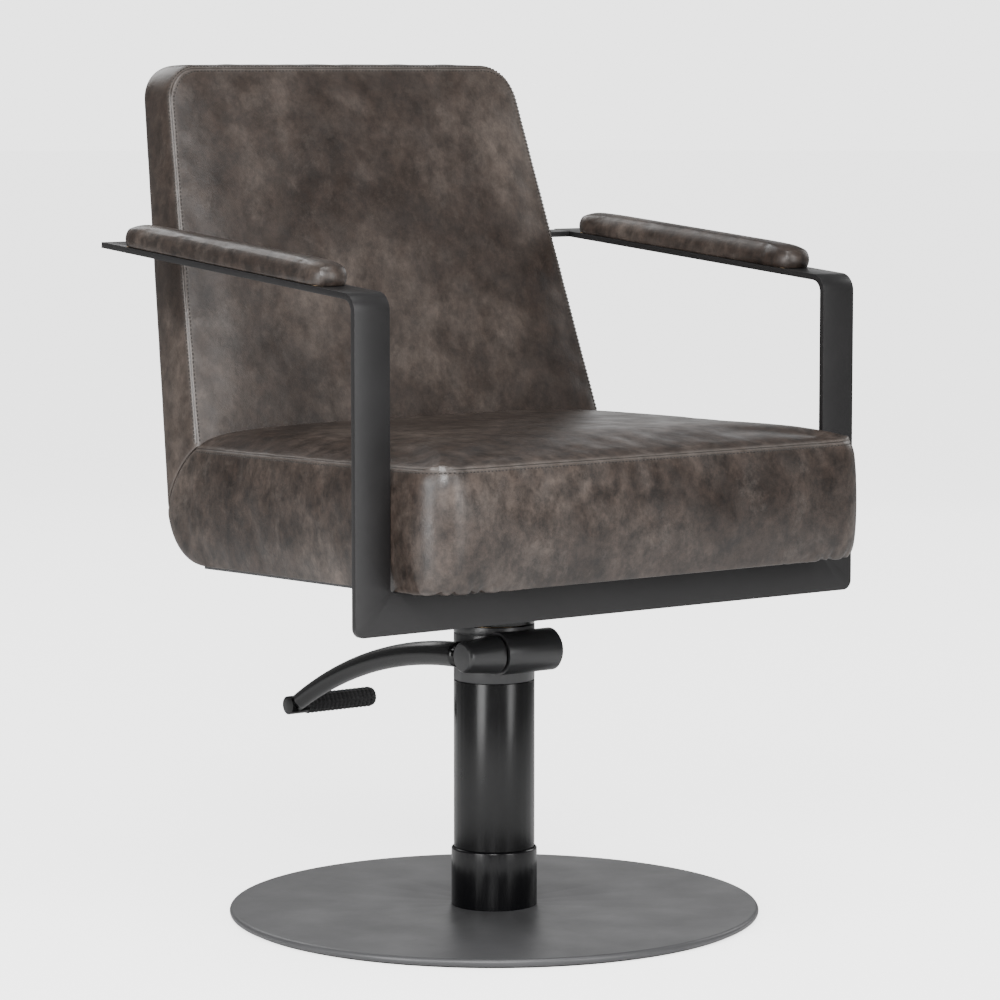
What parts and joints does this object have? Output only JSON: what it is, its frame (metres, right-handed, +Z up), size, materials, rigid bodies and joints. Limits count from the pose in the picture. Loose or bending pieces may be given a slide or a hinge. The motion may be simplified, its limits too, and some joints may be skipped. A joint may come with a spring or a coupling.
{
  "type": "styling chair",
  "caption": "Salon styling chair: padded leather seat and leaning back in a bent flat-steel frame with padded arms, on a swivelling foot-pumped column and round floor disc.",
  "frame": {"origin": "on the floor, on the axis of the column, at the centre of the underside of the floor disc", "axes": "+Z up along the column, the seat faces -Y, +X to the right of someone looking along +Y at the front of the chair"},
  "size_m": [0.631, 0.5942, 0.878],
  "materials": {
    "base_steel": "satin",
    "rubber": "matte",
    "gloss_black": "gloss",
    "column_black": "satin",
    "bright_steel": "satin",
    "bronze": "satin",
    "nylon": "matte",
    "hidden_steel": "matte",
    "frame_steel": "satin",
    "plywood": "matte",
    "leather": "satin",
    "foam": "matte",
    "dust_fabric": "matte"
  },
  "bodies": {
    "base": {"base_plate": "base_steel", "floor_pad": "rubber", "base_sleeve": "gloss_black", "ram_foot": "hidden_steel", "centre_bolt": "bright_steel", "guide_tube": "bright_steel", "ram_rod": "bright_steel", "ram_piston": "bright_steel", "piston_seal": "rubber"},
    "column": {"column_tube": "column_black", "column_bush": "nylon", "hydraulic_cylinder": "bright_steel", "cylinder_gland": "bronze", "pump_head": "column_black", "pivot_bushes": "bronze", "thrust_washer": "bronze", "return_spring": "bright_steel"},
    "plunger": {"pump_plunger": "bright_steel"},
    "lever": {"pivot_shaft": "bright_steel", "lever_boss": "column_black", "lever_arm": "column_black", "pedal_hub": "column_black", "pedal_rod": "bright_steel", "pedal_grip": "rubber"},
    "seat": {"swivel_spindle": "bright_steel", "swivel_hub": "column_black", "swivel_plate": "hidden_steel", "plate_bolts": "bright_steel", "seat_rails": "hidden_steel", "seat_bolts": "bright_steel", "arm_frame": "frame_steel", "arm_stay_left": "frame_steel", "arm_stay_right": "frame_steel", "pad_board_left": "plywood", "pad_board_right": "plywood", "pad_screws": "bright_steel", "arm_pad_left": "leather", "arm_pad_right": "leather", "seat_board": "plywood", "dust_cover": "dust_fabric", "back_frame": "plywood", "back_brackets": "hidden_steel", "seat_foam": "foam", "seat_cover": "leather", "back_foam": "foam", "back_cover": "leather"}
  },
  "joints": [
    {"name": "lift", "type": "slide", "parent": "base", "child": "column", "axis": [0, 0, 1], "range_m": [0, 0.15]},
    {"name": "swivel", "type": "hinge", "parent": "column", "child": "seat", "pos_m": [0, 0, 0.304], "axis": [0, 0, 1], "continuous": true},
    {"name": "foot_lever", "type": "hinge", "parent": "column", "child": "lever", "pos_m": [0, -0.04, 0.2785], "axis": [-1, 0, 0], "range_deg": [0, 20], "stiffness_Nm_per_rad": 22, "springref_deg": -20.05},
    {"name": "plunger_stroke", "type": "slide", "parent": "column", "child": "plunger", "axis": [0, 0, -1], "range_m": [0, 0.0036]}
  ],
  "couplings": [
    {"joint": "plunger_stroke", "follows": "foot_lever", "m_per_rad": 0.01}
  ]
}
